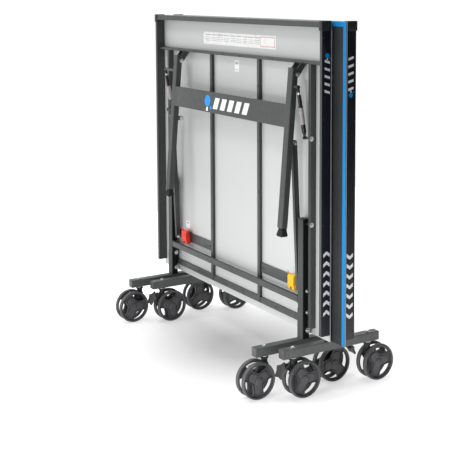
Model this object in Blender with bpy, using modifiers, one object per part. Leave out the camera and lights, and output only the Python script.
"""Rollaway table tennis table, stored: two folding halves stand upright, face to face and nested.

Half A has its underside towards -Y. Half B is the same assembly turned half a turn about the vertical, and
set off sideways so that the two chassis pass each other. Units are metres, +Z is up, and the origin lies on
the floor midway between the halves. Each piece is first placed in the frame of its half: x across the
table, y through it with the underside towards -y, and z up from the floor.
"""

import math

import bmesh
import bpy
from mathutils import Matrix, Vector

# Placing of the halves
SIDE_SHIFT = 0.0425
SIDES = {"right": 1, "left": -1}
GAP = 0.0003
SMALL_SIDES = 12

# Tabletop and apron
PANEL_HALF_WIDTH = 0.7625
PANEL_FLOOR = 0.238
PANEL_TOP = 1.608
PANEL_THICK = 0.006
SURFACE_Y = -0.004
UNDERSIDE_Y = SURFACE_Y - PANEL_THICK
BACKED_Y = UNDERSIDE_Y - GAP
APRON_RIM_Y = -0.056
APRON_THICK = 0.018
APRON_TOP_THICK = 0.025
APRON_FLOOR = 0.268
APRON_CORNER = 0.008
RIM_EDGE = 0.0015

# Pivots: main fold, leg, link and strut
MAIN_PIVOT = Vector((0, -0.034, 0.730))
LEG_PIVOT = Vector((0, -0.062, 1.377))
LINK_FOOT = Vector((0, -0.034, 0.433))
LINK_HEAD = LEG_PIVOT + LINK_FOOT - MAIN_PIVOT
STRUT_FOOT = Vector((0, -0.036, 1.105))
PIVOT_RADIUS = 0.005
PIVOT_BORE = 0.0054
LINK_PIN_RADIUS = 0.004
LINK_BORE = 0.0045

# Steel frame under the tabletop
TUBE_CORNER = 0.003
CROSS_RAIL_LOW = 1.424
CROSS_RAIL_HIGH = 1.438
CROSS_RAIL_END = 0.7437
SIDE_RAIL_IN = 0.640
SIDE_RAIL_OUT = 0.660
SIDE_RAIL_FRONT_Y = -0.0396
CROSS_RAIL_FRONT_Y = -0.040
STIFFENER_IN = 0.209
STIFFENER_OUT = 0.229
STIFFENER_FRONT_Y = -0.025
BOTTOM_RAIL_LOW = 0.274
BOTTOM_RAIL_HIGH = 0.302
BOTTOM_RAIL_FRONT_Y = -0.022
LATCH_PLATE_LOW = 0.421
LATCH_PLATE_HIGH = 0.467
LATCH_PLATE_FRONT_Y = -0.018
HANGER_RADIUS = 0.012
WELD_OVERLAP = 0.010
LAYER = 0.0002

# Latches
LATCH_PIVOT = Vector((0, -0.031, 0.472))
LATCH_SPANS = {"right": (0.500, 0.545), "left": (-0.495, -0.450)}
LATCH_FRONT = ((-0.043, 0.480), (-0.049, 0.473), (-0.051, 0.458), (-0.051, 0.436))
LATCH_HOOK = ((-0.048, 0.416), (-0.042, 0.412), (-0.036, 0.413), (-0.033, 0.424), (-0.023, 0.440))
LATCH_HEEL = 0.010
LATCH_PIN_RADIUS = 0.003
LATCH_BORE = 0.0034
EAR_THICK = 0.004
EAR_RADIUS = 0.007
EAR_FOOT = 0.012
EAR_GAP = 0.0015

# Chassis
FOOT_RAIL_LOW = 0.181
FOOT_RAIL_HIGH = 0.221
FOOT_RAIL_BACK_Y = -0.294
FOOT_RAIL_FRONT_Y = 0.212
UPRIGHT_IN = 0.590
UPRIGHT_OUT = 0.630
UPRIGHT_BACK_Y = -0.058
UPRIGHT_FRONT_Y = -0.026
UPRIGHT_TOP = 0.750
SLEEVE_TOP = 0.350
SLEEVE_WALL = 0.0016
CROSS_TUBE_LOW = 0.374
CROSS_TUBE_HIGH = 0.404
CROSS_TUBE_FRONT_Y = -0.042

# Legs, measured in their own tilted frame at the leg pivot. The left leg stands nearer the middle of its
# half by twice the side shift, so that the four legs stand in line when the tops are down.
LEG_INSETS = {"right": 0.0, "left": 2 * SIDE_SHIFT}
LEG_TILT = math.radians(-4.73)
LEG_IN = 0.548
LEG_OUT = 0.588
LEG_BACK = -0.0222
LEG_FRONT = 0.0078
LEG_ABOVE_PIVOT = 0.028
LEG_BELOW_PIVOT = 0.668
LEG_CORNER = 0.004
BEAM_LOW = -0.232
BEAM_HIGH = -0.132
BEAM_BACK = -0.0218
BEAM_FRONT = -0.0042
BEAM_END = 0.553
STUD_PLACE = (-0.0072, -0.052)
STUD_RADIUS = 0.007
STUD_END = 0.6035
LUG_IN = 0.001
LUG_OUT = 0.008
LUG_RADIUS = 0.011
FOOT_BOTTOM = 0.675
FOOT_TOP = 0.7103
FOOT_HALF_WIDTH = 0.022
FOOT_HALF_DEPTH = 0.018

# Links and struts
LINK_IN = 0.558
LINK_OUT = 0.574
LINK_RADIUS = 0.012
STRUT_X = 0.612
STRUT_EYE_RADIUS = 0.009
STRUT_EYE_HALF = 0.006
CYLINDER_RADIUS = 0.010
CYLINDER_START = 0.022
CYLINDER_END = 0.198
STRUT_ROD_RADIUS = 0.004
STRUT_ROD_BORE = 0.0046
STRUT_BORE_DEPTH = 0.160
ROD_START = 0.080
ROD_END_RADIUS = 0.008
ROD_END_HALF = 0.0075

# Casters, measured from the stem with the wheels trailing towards -y
CASTER_X = 0.610
OUTER_STEM_Y = -0.245
INNER_STEM_Y = 0.155
TRAIL = 0.045
WHEEL_RADIUS = 0.082
WHEEL_SIDES = 24
DISC_IN = 0.013
DISC_OUT = 0.035
TREAD_EDGE = 0.006
STEM_RADIUS = 0.0056
STEM_BORE = 0.0062
STEM_TOP = 0.205
STEM_BORE_TOP = 0.209
FORK_HALF = 0.0105
BEARING_RADIUS = 0.017
WINDOW_INNER = 0.040
WINDOW_OUTER = 0.066
WINDOW_HALF_ANGLE = math.radians(32)
WINDOW_COUNT = 3
PEDAL_PIVOT = (0.026, 0.148)
PEDAL_PIN_RADIUS = 0.0026
PEDAL_BORE = 0.0031
PEDAL_STAR_CENTRE = (0.060, 0.130)
PEDAL_STAR_TILT = math.radians(62)
STAR_POINTS = 5
STAR_OUTER = 0.042
STAR_INNER = 0.028
STAR_THICK = 0.007


def clear_scene():
    """Empty the file, so that the script gives the same result each time."""
    for obj in list(bpy.data.objects):
        bpy.data.objects.remove(obj, do_unlink=True)
    for collection in list(bpy.data.collections):
        bpy.data.collections.remove(collection)


def make_collection(name):
    """Make a collection in the scene."""
    collection = bpy.data.collections.new(name)
    bpy.context.scene.collection.children.link(collection)
    return collection


def make_material(name, colour, roughness, metallic):
    """Make a plain Principled material."""
    material = bpy.data.materials.new(name)
    material.use_nodes = True
    shader = material.node_tree.nodes["Principled BSDF"]
    shader.inputs["Base Color"].default_value = (*colour, 1.0)
    shader.inputs["Roughness"].default_value = roughness
    shader.inputs["Metallic"].default_value = metallic
    material.diffuse_color = (*colour, 1.0)
    return material


def shape_object(mesh):
    """Put a raw shape in the workshop collection."""
    obj = bpy.data.objects.new("shape", mesh)
    WORKSHOP.objects.link(obj)
    obj.hide_render = True
    obj.display_type = "WIRE"
    return obj


def mesh_of(bm):
    """Turn a bmesh into a mesh with its faces pointing out."""
    bmesh.ops.recalc_face_normals(bm, faces=bm.faces)
    mesh = bpy.data.meshes.new("shape")
    bm.to_mesh(mesh)
    bm.free()
    return mesh


def bar(low, high, axis=None, corner=0.0):
    """Box between two corners, with the edges along one axis rounded when a corner radius is given."""
    bm = bmesh.new()
    size = Vector(high) - Vector(low)
    middle = (Vector(high) + Vector(low)) / 2
    place = Matrix.Translation(middle) @ Matrix.Diagonal((*size, 1.0))
    bmesh.ops.create_cube(bm, size=1.0, matrix=place)
    if corner:
        along = [
            edge
            for edge in bm.edges
            if abs((edge.verts[0].co - edge.verts[1].co).normalized()["xyz".index(axis)]) > 0.9
        ]
        bmesh.ops.bevel(bm, geom=along, offset=corner, segments=2, profile=0.5, affect="EDGES")
    return shape_object(mesh_of(bm))


def pin(start, end, radius, sides=SMALL_SIDES):
    """Round bar between two points."""
    start = Vector(start)
    line = Vector(end) - start
    turn = Vector((0, 0, 1)).rotation_difference(line).to_matrix().to_4x4()
    place = Matrix.Translation(start + line / 2) @ turn
    bm = bmesh.new()
    bmesh.ops.create_cone(
        bm, cap_ends=True, segments=sides, radius1=radius, radius2=radius, depth=line.length, matrix=place
    )
    return shape_object(mesh_of(bm))


def cross_pin(x_low, x_high, point, radius, sides=SMALL_SIDES):
    """Round bar along x through a point given by its y and z."""
    return pin((x_low, point[-2], point[-1]), (x_high, point[-2], point[-1]), radius, sides)


def arc(centre, radius, start, end, steps):
    """Points on an arc, angles in degrees counted from the first axis of the outline."""
    points = []
    for step in range(steps + 1):
        angle = math.radians(start + (end - start) * step / steps)
        points.append((centre[0] + radius * math.cos(angle), centre[1] + radius * math.sin(angle)))
    return points


def cut_out(outline, thickness):
    """Flat plate with a given outline, lying in x and y and centred on z = 0, as a welded mesh."""
    curve = bpy.data.curves.new("outline", "CURVE")
    curve.dimensions = "2D"
    curve.fill_mode = "BOTH"
    curve.extrude = thickness / 2
    spline = curve.splines.new("POLY")
    spline.points.add(len(outline) - 1)
    for point, place in zip(spline.points, outline):
        point.co = (place[0], place[1], 0.0, 1.0)
    spline.use_cyclic_u = True
    curve_object = shape_object_from_curve(curve)
    evaluated = curve_object.evaluated_get(bpy.context.evaluated_depsgraph_get())
    mesh = bpy.data.meshes.new_from_object(evaluated)
    bpy.data.objects.remove(curve_object, do_unlink=True)
    bm = bmesh.new()
    bm.from_mesh(mesh)
    bpy.data.meshes.remove(mesh)
    bmesh.ops.remove_doubles(bm, verts=bm.verts, dist=0.00001)
    bmesh.ops.dissolve_limit(bm, angle_limit=0.001, verts=bm.verts, edges=bm.edges)
    return shape_object(mesh_of(bm))


def shape_object_from_curve(curve):
    """Put a curve in the workshop collection, where it is evaluated."""
    obj = bpy.data.objects.new("outline", curve)
    WORKSHOP.objects.link(obj)
    bpy.context.view_layer.update()
    return obj


def side_plate(outline, x_low, x_high):
    """Plate whose outline is given in y and z, reaching from one x to another."""
    plate = cut_out(outline, abs(x_high - x_low))
    across = Matrix(((0, 0, 1, (x_low + x_high) / 2), (1, 0, 0, 0), (0, 1, 0, 0), (0, 0, 0, 1)))
    plate.data.transform(across)
    return plate


def face_plate(outline, y_low, y_high):
    """Plate whose outline is given in x and z, reaching from one y to another."""
    plate = cut_out(outline, y_high - y_low)
    upright = Matrix(((1, 0, 0, 0), (0, 0, -1, (y_low + y_high) / 2), (0, 1, 0, 0), (0, 0, 0, 1)))
    plate.data.transform(upright)
    return plate


def turned(profile, sides):
    """Shape turned about z from a profile of radius and height that runs from top to bottom."""
    mesh = bpy.data.meshes.new("profile")
    edges = [(index, index + 1) for index in range(len(profile) - 1)]
    mesh.from_pydata([(radius, 0.0, height) for radius, height in profile], edges, [])
    obj = shape_object(mesh)
    screw = obj.modifiers.new("Screw", "SCREW")
    screw.axis = "Z"
    screw.steps = sides
    screw.render_steps = sides
    screw.use_merge_vertices = True
    screw.merge_threshold = 0.00001
    settle(obj)
    bm = bmesh.new()
    bm.from_mesh(obj.data)
    bmesh.ops.remove_doubles(bm, verts=bm.verts, dist=0.00001)
    obj.data = mesh_of(bm)
    return obj


def settle(obj):
    """Replace an object's mesh by what its modifiers make of it."""
    bpy.context.view_layer.update()
    evaluated = obj.evaluated_get(bpy.context.evaluated_depsgraph_get())
    mesh = bpy.data.meshes.new_from_object(evaluated)
    obj.modifiers.clear()
    obj.data = mesh


def boolean(obj, tool, operation):
    """Join a shape to another or cut it away, and use the tool up."""
    modifier = obj.modifiers.new(operation, "BOOLEAN")
    modifier.operation = operation
    modifier.solver = "EXACT"
    modifier.object = tool
    settle(obj)
    bpy.data.objects.remove(tool, do_unlink=True)


def welded(pieces, cutters=()):
    """Join shapes into one body, then cut the bores and windows out of it."""
    body = pieces[0]
    for piece in pieces[1:]:
        boolean(body, piece, "UNION")
    for cutter in cutters:
        boolean(body, cutter, "DIFFERENCE")
    bm = bmesh.new()
    bm.from_mesh(body.data)
    bmesh.ops.remove_doubles(bm, verts=bm.verts, dist=0.00002)
    bmesh.ops.dissolve_limit(bm, angle_limit=0.002, verts=bm.verts, edges=bm.edges)
    body.data = mesh_of(bm)
    return body


def mirrored(obj):
    """The same shape on the other side of the half, with its faces still pointing out."""
    bm = bmesh.new()
    bm.from_mesh(obj.data)
    bmesh.ops.scale(bm, vec=(-1, 1, 1), verts=bm.verts)
    return shape_object(mesh_of(bm))


def stadium(first, second, radius, steps=6):
    """Outline of a bar with round ends between two points."""
    heading = math.degrees(math.atan2(second[1] - first[1], second[0] - first[0]))
    return arc(second, radius, heading - 90, heading + 90, steps) + arc(
        first, radius, heading + 90, heading + 270, steps
    )


def star(points, outer, inner):
    """Outline of a star with one point straight up."""
    outline = []
    for step in range(2 * points):
        radius = inner if step % 2 else outer
        angle = math.pi / 2 + math.pi * step / points
        outline.append((radius * math.cos(angle), radius * math.sin(angle)))
    return outline


def leg_span(side_name):
    """Inner and outer face of one leg, counted from the middle of the half."""
    inset = LEG_INSETS[side_name]
    return LEG_IN - inset, LEG_OUT - inset


def leg_place():
    """Matrix from the tilted leg frame at the leg pivot to the frame of the half."""
    return Matrix.Translation(LEG_PIVOT) @ Matrix.Rotation(LEG_TILT, 4, "X")


def stud_point():
    """Centre of the strut's upper stud in the frame of the half."""
    return leg_place() @ Vector((0, *STUD_PLACE))


def tabletop():
    """One half of the playing surface, with its edges eased."""
    low = (-PANEL_HALF_WIDTH, UNDERSIDE_Y, PANEL_FLOOR)
    high = (PANEL_HALF_WIDTH, SURFACE_Y, PANEL_TOP)
    return bar(low, high, "y", RIM_EDGE)


def apron():
    """Folded steel apron round three sides of the tabletop, open towards the net."""
    outer = PANEL_HALF_WIDTH
    inner = outer - APRON_THICK
    corner = (outer - APRON_CORNER, PANEL_TOP - APRON_CORNER)
    right = arc(corner, APRON_CORNER, 0, 90, 4)
    left = arc((-corner[0], corner[1]), APRON_CORNER, 90, 180, 4)
    top_inside = PANEL_TOP - APRON_TOP_THICK
    outline = [(inner, top_inside), (inner, APRON_FLOOR), (outer, APRON_FLOOR), *right, *left]
    outline += [(-outer, APRON_FLOOR), (-inner, APRON_FLOOR), (-inner, top_inside)]
    body = face_plate(outline, APRON_RIM_Y, BACKED_Y)
    bm = bmesh.new()
    bm.from_mesh(body.data)
    rim = [edge for edge in bm.edges if all(v.co.y < APRON_RIM_Y + GAP for v in edge.verts)]
    bmesh.ops.bevel(bm, geom=rim, offset=RIM_EDGE, segments=1, affect="EDGES")
    body.data = mesh_of(bm)
    return body


def hanger(x_low, x_high):
    """Cheek that hangs from the cross rail and carries the leg pin."""
    heel = [(BACKED_Y - 0.002, CROSS_RAIL_LOW + 0.002), (BACKED_Y - 0.002, CROSS_RAIL_HIGH - 0.003)]
    toe = [
        (CROSS_RAIL_FRONT_Y + 0.002, CROSS_RAIL_HIGH - 0.003),
        (LEG_PIVOT.y - HANGER_RADIUS, LEG_PIVOT.z + 0.010),
    ]
    round_end = arc((LEG_PIVOT.y, LEG_PIVOT.z), HANGER_RADIUS, 190, 320, 6)
    return side_plate(heel + toe + round_end, x_low, x_high)


def latch_ear(x_low, x_high):
    """Ear on the latch plate that carries the latch pin."""
    back = LATCH_PLATE_FRONT_Y + EAR_THICK
    foot = [(back, LATCH_PIVOT.z - EAR_FOOT), (back, LATCH_PIVOT.z + EAR_THICK / 2)]
    round_end = arc((LATCH_PIVOT.y, LATCH_PIVOT.z), EAR_RADIUS, 90, 270, 6)
    return side_plate(foot + round_end, x_low, x_high)


def table_frame():
    """Welded tube frame behind the tabletop, with its hangers, ears and fixed pins.

    The bars stand off the panel by a fraction of a millimetre more each, so that no two faces coincide.
    """
    low_weld = CROSS_RAIL_LOW + WELD_OVERLAP
    middle = (SIDE_RAIL_IN + SIDE_RAIL_OUT) / 2
    pieces = [
        bar(
            (-CROSS_RAIL_END, CROSS_RAIL_FRONT_Y, CROSS_RAIL_LOW),
            (CROSS_RAIL_END, BACKED_Y, CROSS_RAIL_HIGH),
            "x",
            TUBE_CORNER,
        ),
        bar((-middle, BOTTOM_RAIL_FRONT_Y, BOTTOM_RAIL_LOW), (middle, BACKED_Y - LAYER, BOTTOM_RAIL_HIGH)),
    ]
    for side_name, side in SIDES.items():
        rail = sorted((side * SIDE_RAIL_IN, side * SIDE_RAIL_OUT))
        stiffener = sorted((side * STIFFENER_IN, side * STIFFENER_OUT))
        plate = sorted((side * (STIFFENER_IN + WELD_OVERLAP), side * middle))
        rail_low = (rail[0], SIDE_RAIL_FRONT_Y, BOTTOM_RAIL_LOW - 0.003)
        stiffener_low = (stiffener[0], STIFFENER_FRONT_Y, BOTTOM_RAIL_LOW + 0.005)
        plate_low = (plate[0], LATCH_PLATE_FRONT_Y, LATCH_PLATE_LOW)
        pieces += [
            bar(rail_low, (rail[1], BACKED_Y - 2 * LAYER, low_weld), "z", TUBE_CORNER),
            bar(stiffener_low, (stiffener[1], BACKED_Y - 3 * LAYER, low_weld + LAYER)),
            bar(plate_low, (plate[1], BACKED_Y - 4 * LAYER, LATCH_PLATE_HIGH)),
        ]
        leg_in, leg_out = leg_span(side_name)
        for cheek in ((leg_in - 0.005, leg_in - 0.001), (leg_out + 0.001, leg_out + 0.005)):
            pieces.append(hanger(*sorted((side * cheek[0], side * cheek[1]))))
        latch_low, latch_high = LATCH_SPANS[side_name]
        low_ear = (latch_low - EAR_GAP - EAR_THICK, latch_low - EAR_GAP)
        high_ear = (latch_high + EAR_GAP, latch_high + EAR_GAP + EAR_THICK)
        for ear in (low_ear, high_ear):
            pieces.append(latch_ear(*ear))
        latch_pin = (low_ear[0] + 0.001, high_ear[1] - 0.001)
        pieces += [
            cross_pin(side * (leg_in - 0.006), side * (leg_out + 0.006), LEG_PIVOT, PIVOT_RADIUS),
            cross_pin(side * (UPRIGHT_IN - 0.002), side * middle, MAIN_PIVOT, PIVOT_RADIUS),
            cross_pin(side * (STRUT_X - 0.009), side * middle, STRUT_FOOT, LINK_PIN_RADIUS),
            cross_pin(*latch_pin, LATCH_PIVOT, LATCH_PIN_RADIUS, 8),
        ]
    return welded(pieces)


def latch(x_low, x_high):
    """Hook lever that locks the half upright, between two distances from the half's middle."""
    heel = arc((LATCH_PIVOT.y, LATCH_PIVOT.z), LATCH_HEEL, 0, 100, 5)
    body = side_plate([*heel, *LATCH_FRONT, *LATCH_HOOK], x_low, x_high)
    bore = cross_pin(x_low - LATCH_PIN_RADIUS, x_high + LATCH_PIN_RADIUS, LATCH_PIVOT, LATCH_BORE, 8)
    return welded([body], [bore])


def foot_rail():
    """Square tube that carries two casters, on the right side of its half."""
    low = (UPRIGHT_IN, FOOT_RAIL_BACK_Y, FOOT_RAIL_LOW)
    high = (UPRIGHT_OUT, FOOT_RAIL_FRONT_Y, FOOT_RAIL_HIGH)
    bores = [
        pin((CASTER_X, stem, FOOT_RAIL_LOW - 0.001), (CASTER_X, stem, STEM_BORE_TOP), STEM_BORE)
        for stem in (OUTER_STEM_Y, INNER_STEM_Y)
    ]
    return welded([bar(low, high, "y", TUBE_CORNER)], bores)


def upright():
    """Post with its sleeve, the bore of the main pivot and the fixed pin of the link."""
    low = (UPRIGHT_IN, UPRIGHT_BACK_Y, FOOT_RAIL_HIGH + GAP)
    high = (UPRIGHT_OUT, UPRIGHT_FRONT_Y, UPRIGHT_TOP)
    sleeve_low = (UPRIGHT_IN - SLEEVE_WALL, UPRIGHT_BACK_Y - SLEEVE_WALL, FOOT_RAIL_HIGH + 2 * GAP)
    sleeve_high = (UPRIGHT_OUT + SLEEVE_WALL, UPRIGHT_FRONT_Y + SLEEVE_WALL, SLEEVE_TOP)
    pieces = [
        bar(low, high, "z", TUBE_CORNER),
        bar(sleeve_low, sleeve_high, "z", TUBE_CORNER),
        cross_pin(LINK_IN - 0.002, UPRIGHT_IN + 0.005, LINK_FOOT, LINK_PIN_RADIUS),
    ]
    return welded(pieces, [cross_pin(UPRIGHT_IN - 0.005, UPRIGHT_OUT + 0.005, MAIN_PIVOT, PIVOT_BORE)])


def cross_tube():
    """Tube between the two uprights."""
    end = UPRIGHT_IN - 0.0004
    low = (-end, UPRIGHT_BACK_Y, CROSS_TUBE_LOW)
    high = (end, CROSS_TUBE_FRONT_Y, CROSS_TUBE_HIGH)
    return bar(low, high, "x", TUBE_CORNER)


def leg_frame():
    """Two legs joined by a flat beam, with the link lugs and the strut studs."""
    beam_low = (LEG_INSETS["left"] - BEAM_END, BEAM_BACK, BEAM_LOW)
    pieces = [bar(beam_low, (BEAM_END, BEAM_FRONT, BEAM_HIGH), "x", RIM_EDGE)]
    bores = []
    head = leg_place().inverted() @ LINK_HEAD
    for side_name, side in SIDES.items():
        leg_in, leg_out = leg_span(side_name)
        span = sorted((side * leg_in, side * leg_out))
        low = (span[0], LEG_BACK, -LEG_BELOW_PIVOT)
        high = (span[1], LEG_FRONT, LEG_ABOVE_PIVOT)
        lug = stadium((0.0, head.z), (head.y, head.z), LUG_RADIUS)
        pieces += [
            bar(low, high, "z", LEG_CORNER),
            side_plate(lug, *sorted((side * (leg_in + LUG_IN), side * (leg_in + LUG_OUT)))),
            cross_pin(side * (leg_in + LUG_IN + 0.001), side * (LINK_OUT + 0.002), head, LINK_PIN_RADIUS),
            cross_pin(side * (leg_out - 0.008), side * STUD_END, STUD_PLACE, STUD_RADIUS),
        ]
        bores.append(cross_pin(side * (leg_in - 0.006), side * (leg_out + 0.006), (0, 0), PIVOT_BORE))
    body = welded(pieces, bores)
    body.data.transform(leg_place())
    return body


def leg_foot(side_name):
    """Rubber shoe on one leg, level with the floor when the leg is down."""
    ankle = leg_place() @ Vector((0, (LEG_BACK + LEG_FRONT) / 2, -LEG_BELOW_PIVOT))
    middle = SIDES[side_name] * sum(leg_span(side_name)) / 2
    low = (middle - FOOT_HALF_WIDTH, ankle.y - FOOT_HALF_DEPTH, FOOT_BOTTOM)
    high = (middle + FOOT_HALF_WIDTH, ankle.y + FOOT_HALF_DEPTH, FOOT_TOP)
    return bar(low, high, "z", LEG_CORNER)


def link():
    """Flat bar that keeps the leg upright while the top folds."""
    foot = (LINK_FOOT.y, LINK_FOOT.z)
    head = (LINK_HEAD.y, LINK_HEAD.z)
    body = side_plate(stadium(foot, head, LINK_RADIUS), LINK_IN, LINK_OUT)
    bores = [cross_pin(LINK_IN - 0.002, LINK_OUT + 0.002, end, LINK_BORE) for end in (foot, head)]
    return welded([body], bores)


def strut_line():
    """Foot, unit direction and length of the gas strut in the frame of the half."""
    foot = Vector((STRUT_X, STRUT_FOOT.y, STRUT_FOOT.z))
    head = stud_point()
    head.x = STRUT_X
    return foot, (head - foot).normalized(), (head - foot).length


def strut_cylinder():
    """Gas strut cylinder with its eye, bored for the rod."""
    foot, along, _ = strut_line()
    low, high = STRUT_X - STRUT_EYE_HALF, STRUT_X + STRUT_EYE_HALF
    pieces = [
        pin(foot + along * CYLINDER_START, foot + along * CYLINDER_END, CYLINDER_RADIUS, 16),
        pin(foot + along * 0.004, foot + along * (CYLINDER_START + 0.005), 0.0055, 10),
        cross_pin(low, high, foot, STRUT_EYE_RADIUS),
    ]
    bore_start = CYLINDER_END - STRUT_BORE_DEPTH
    cutters = [
        cross_pin(low - 0.002, high + 0.002, foot, LINK_BORE, 10),
        pin(foot + along * bore_start, foot + along * (CYLINDER_END + 0.002), STRUT_ROD_BORE, 10),
    ]
    return welded(pieces, cutters)


def strut_rod():
    """Gas strut rod with the end fitting that sits beside the stud of the leg."""
    foot, along, length = strut_line()
    head = foot + along * length
    pieces = [
        pin(foot + along * ROD_START, head, STRUT_ROD_RADIUS, 10),
        cross_pin(STRUT_X - ROD_END_HALF, STRUT_X + ROD_END_HALF, head, ROD_END_RADIUS),
    ]
    return welded(pieces)


def caster_fork(stem_y, braked):
    """Caster body between the two discs, with its stem, bearing and axle bore."""
    axle = (stem_y - TRAIL, WHEEL_RADIUS)
    nose = [(0.033, 0.163), (0.033, 0.139), (0.016, 0.132)] if braked else [(0.014, 0.150)]
    front = [(0.014, FOOT_RAIL_LOW - 0.009), *nose, (-0.010, 0.100)]
    hub = [(y - stem_y, z) for y, z in arc(axle, 0.018, -50, -190, 6)]
    back = [(-0.064, 0.110), (-0.050, 0.150), (-0.020, FOOT_RAIL_LOW - 0.009)]
    outline = [(stem_y + y, z) for y, z in front + hub + back]
    bearing_top = FOOT_RAIL_LOW - 2 * GAP
    pieces = [
        side_plate(outline, CASTER_X - FORK_HALF, CASTER_X + FORK_HALF),
        pin((CASTER_X, stem_y, bearing_top - 0.014), (CASTER_X, stem_y, bearing_top), BEARING_RADIUS, 16),
        pin((CASTER_X, stem_y, bearing_top - 0.004), (CASTER_X, stem_y, STEM_TOP), STEM_RADIUS, 10),
    ]
    low, high = CASTER_X - DISC_IN, CASTER_X + DISC_IN
    bores = [cross_pin(low, high, axle, PIVOT_BORE)]
    if braked:
        bores.append(cross_pin(low, high, (stem_y + PEDAL_PIVOT[0], PEDAL_PIVOT[1]), PEDAL_BORE, 8))
    return welded(pieces, bores)


def wheel_pair(stem_y):
    """Two discs on one axle, each with three windows."""
    edge = WHEEL_RADIUS - TREAD_EDGE
    half = [(0, DISC_OUT), (edge, DISC_OUT), (WHEEL_RADIUS, DISC_OUT - TREAD_EDGE)]
    half += [(WHEEL_RADIUS, DISC_IN + TREAD_EDGE), (edge, DISC_IN), (PIVOT_RADIUS, DISC_IN)]
    body = turned(half + [(radius, -height) for radius, height in reversed(half)], WHEEL_SIDES)
    windows = []
    spread = math.degrees(WINDOW_HALF_ANGLE)
    for index in range(WINDOW_COUNT):
        heading = 90 + 360 * index / WINDOW_COUNT
        outline = arc((0, 0), WINDOW_OUTER, heading - spread, heading + spread, 4)
        outline += arc((0, 0), WINDOW_INNER + 0.008, heading + 0.85 * spread, heading - 0.85 * spread, 2)
        windows.append(cut_out(outline, 3 * DISC_OUT))
    body = welded([body], windows)
    place = Matrix.Translation((CASTER_X, stem_y - TRAIL, WHEEL_RADIUS))
    body.data.transform(place @ Matrix.Rotation(math.pi / 2, 4, "Y"))
    return body


def brake_pedal():
    """Star pedal in front of the inner caster, with two cheeks and its pin."""
    pivot = (INNER_STEM_Y + PEDAL_PIVOT[0], PEDAL_PIVOT[1])
    centre = (INNER_STEM_Y + PEDAL_STAR_CENTRE[0], PEDAL_STAR_CENTRE[1])
    tread = cut_out(star(STAR_POINTS, STAR_OUTER, STAR_INNER), STAR_THICK)
    turn = Matrix.Rotation(math.pi, 4, "Z") @ Matrix.Rotation(PEDAL_STAR_TILT, 4, "X")
    tread.data.transform(Matrix.Translation((CASTER_X, *centre)) @ turn)
    cheek = stadium(pivot, (centre[0] - 0.008, centre[1]), 0.0075, 4)
    pieces = [tread]
    for side in (-1, 1):
        inner = CASTER_X + side * (FORK_HALF + 0.0008)
        outer = CASTER_X + side * (FORK_HALF + 0.0040)
        pieces.append(side_plate(cheek, *sorted((inner, outer))))
    end = FORK_HALF + 0.003
    pieces.append(cross_pin(CASTER_X - end, CASTER_X + end, pivot, PEDAL_PIN_RADIUS, 8))
    return welded(pieces)


def finish(obj, name, material, pivot, half_name, parent):
    """Name a piece, put its origin on its pivot and hang it under its half."""
    mesh = obj.data
    mesh.transform(Matrix.Translation(-pivot))
    mesh.name = name
    mesh.materials.clear()
    mesh.materials.append(material)
    mesh.polygons.foreach_set("use_smooth", [True] * len(mesh.polygons))
    mesh.set_sharp_from_angle(angle=math.radians(35))
    bpy.data.objects.remove(obj, do_unlink=True)
    return place_copy(mesh, f"{name}_{half_name}", pivot, parent)


def place_copy(mesh, name, pivot, parent):
    """Put an object with a given mesh at its pivot under a half."""
    obj = bpy.data.objects.new(name, mesh)
    TABLE.objects.link(obj)
    obj.parent = parent
    obj.location = pivot
    return obj


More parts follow.
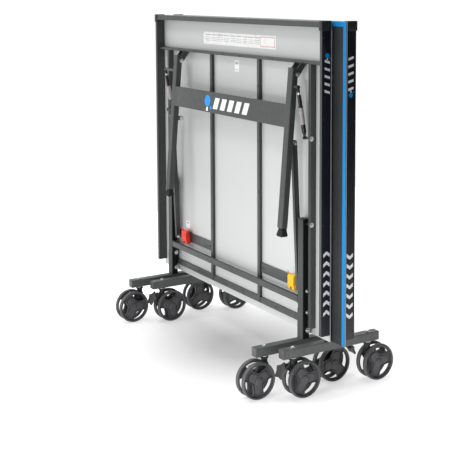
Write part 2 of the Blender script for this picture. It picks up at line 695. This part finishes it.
def half_pieces():
    """Every piece of one half: name, shape, material name and pivot."""
    pieces = [
        ("tabletop", tabletop(), "surface", MAIN_PIVOT),
        ("apron", apron(), "apron", MAIN_PIVOT),
        ("table_frame", table_frame(), "frame", MAIN_PIVOT),
        ("cross_tube", cross_tube(), "frame", Vector((0, 0, 0))),
        ("leg_frame", leg_frame(), "frame", LEG_PIVOT),
    ]
    pedal_pin = Vector((0, INNER_STEM_Y + PEDAL_PIVOT[0], PEDAL_PIVOT[1]))
    sided = [
        ("foot_rail", foot_rail(), "frame", Vector((0, 0, 0))),
        ("upright", upright(), "frame", Vector((0, 0, 0))),
        ("link", link(), "frame", LINK_FOOT),
        ("strut_cylinder", strut_cylinder(), "strut", STRUT_FOOT),
        ("strut_rod", strut_rod(), "zinc", STRUT_FOOT),
        ("brake_pedal", brake_pedal(), "fork", pedal_pin),
    ]
    for side, colour in (("right", "yellow"), ("left", "red")):
        pieces.append((f"latch_{side}", latch(*LATCH_SPANS[side]), f"latch_{colour}", LATCH_PIVOT))
        pieces.append((f"leg_foot_{side}", leg_foot(side), "rubber", LEG_PIVOT))
    for place, stem in (("outer", OUTER_STEM_Y), ("inner", INNER_STEM_Y)):
        braked = place == "inner"
        sided.append((f"caster_fork_{place}", caster_fork(stem, braked), "fork", Vector((0, stem, 0))))
        axle = Vector((0, stem - TRAIL, WHEEL_RADIUS))
        sided.append((f"wheel_pair_{place}", wheel_pair(stem), "wheel", axle))
    for name, shape, material, pivot in sided:
        other = mirrored(shape)
        rolling = name.startswith(("caster", "wheel", "brake"))
        across = Vector((CASTER_X, 0, 0)) if rolling else Vector()
        pieces.append((f"{name}_right", shape, material, pivot + across))
        pieces.append((f"{name}_left", other, material, pivot - across))
    return pieces


def main():
    """Build both halves."""
    materials = {
        "surface": make_material("surface", (0.085, 0.090, 0.095), 0.45, 0.0),
        "apron": make_material("apron", (0.010, 0.011, 0.014), 0.35, 0.2),
        "frame": make_material("frame", (0.090, 0.097, 0.095), 0.42, 0.4),
        "rubber": make_material("rubber", (0.012, 0.012, 0.012), 0.75, 0.0),
        "strut": make_material("strut", (0.010, 0.010, 0.010), 0.30, 0.5),
        "zinc": make_material("zinc", (0.60, 0.60, 0.60), 0.30, 1.0),
        "latch_yellow": make_material("latch_yellow", (0.85, 0.50, 0.01), 0.40, 0.0),
        "latch_red": make_material("latch_red", (0.80, 0.04, 0.02), 0.40, 0.0),
        "fork": make_material("fork", (0.015, 0.015, 0.016), 0.50, 0.0),
        "wheel": make_material("wheel", (0.060, 0.060, 0.064), 0.55, 0.0),
    }
    half_a = bpy.data.objects.new("half_a", None)
    half_b = bpy.data.objects.new("half_b", None)
    for half in (half_a, half_b):
        TABLE.objects.link(half)
    half_a.location = (-SIDE_SHIFT, 0, 0)
    half_b.location = (SIDE_SHIFT, 0, 0)
    half_b.rotation_euler = (0, 0, math.pi)
    for name, shape, material, pivot in half_pieces():
        first = finish(shape, name, materials[material], pivot, "a", half_a)
        place_copy(first.data, f"{name}_b", pivot, half_b)


clear_scene()
TABLE = make_collection("table_tennis_table")
WORKSHOP = make_collection("workshop")
main()
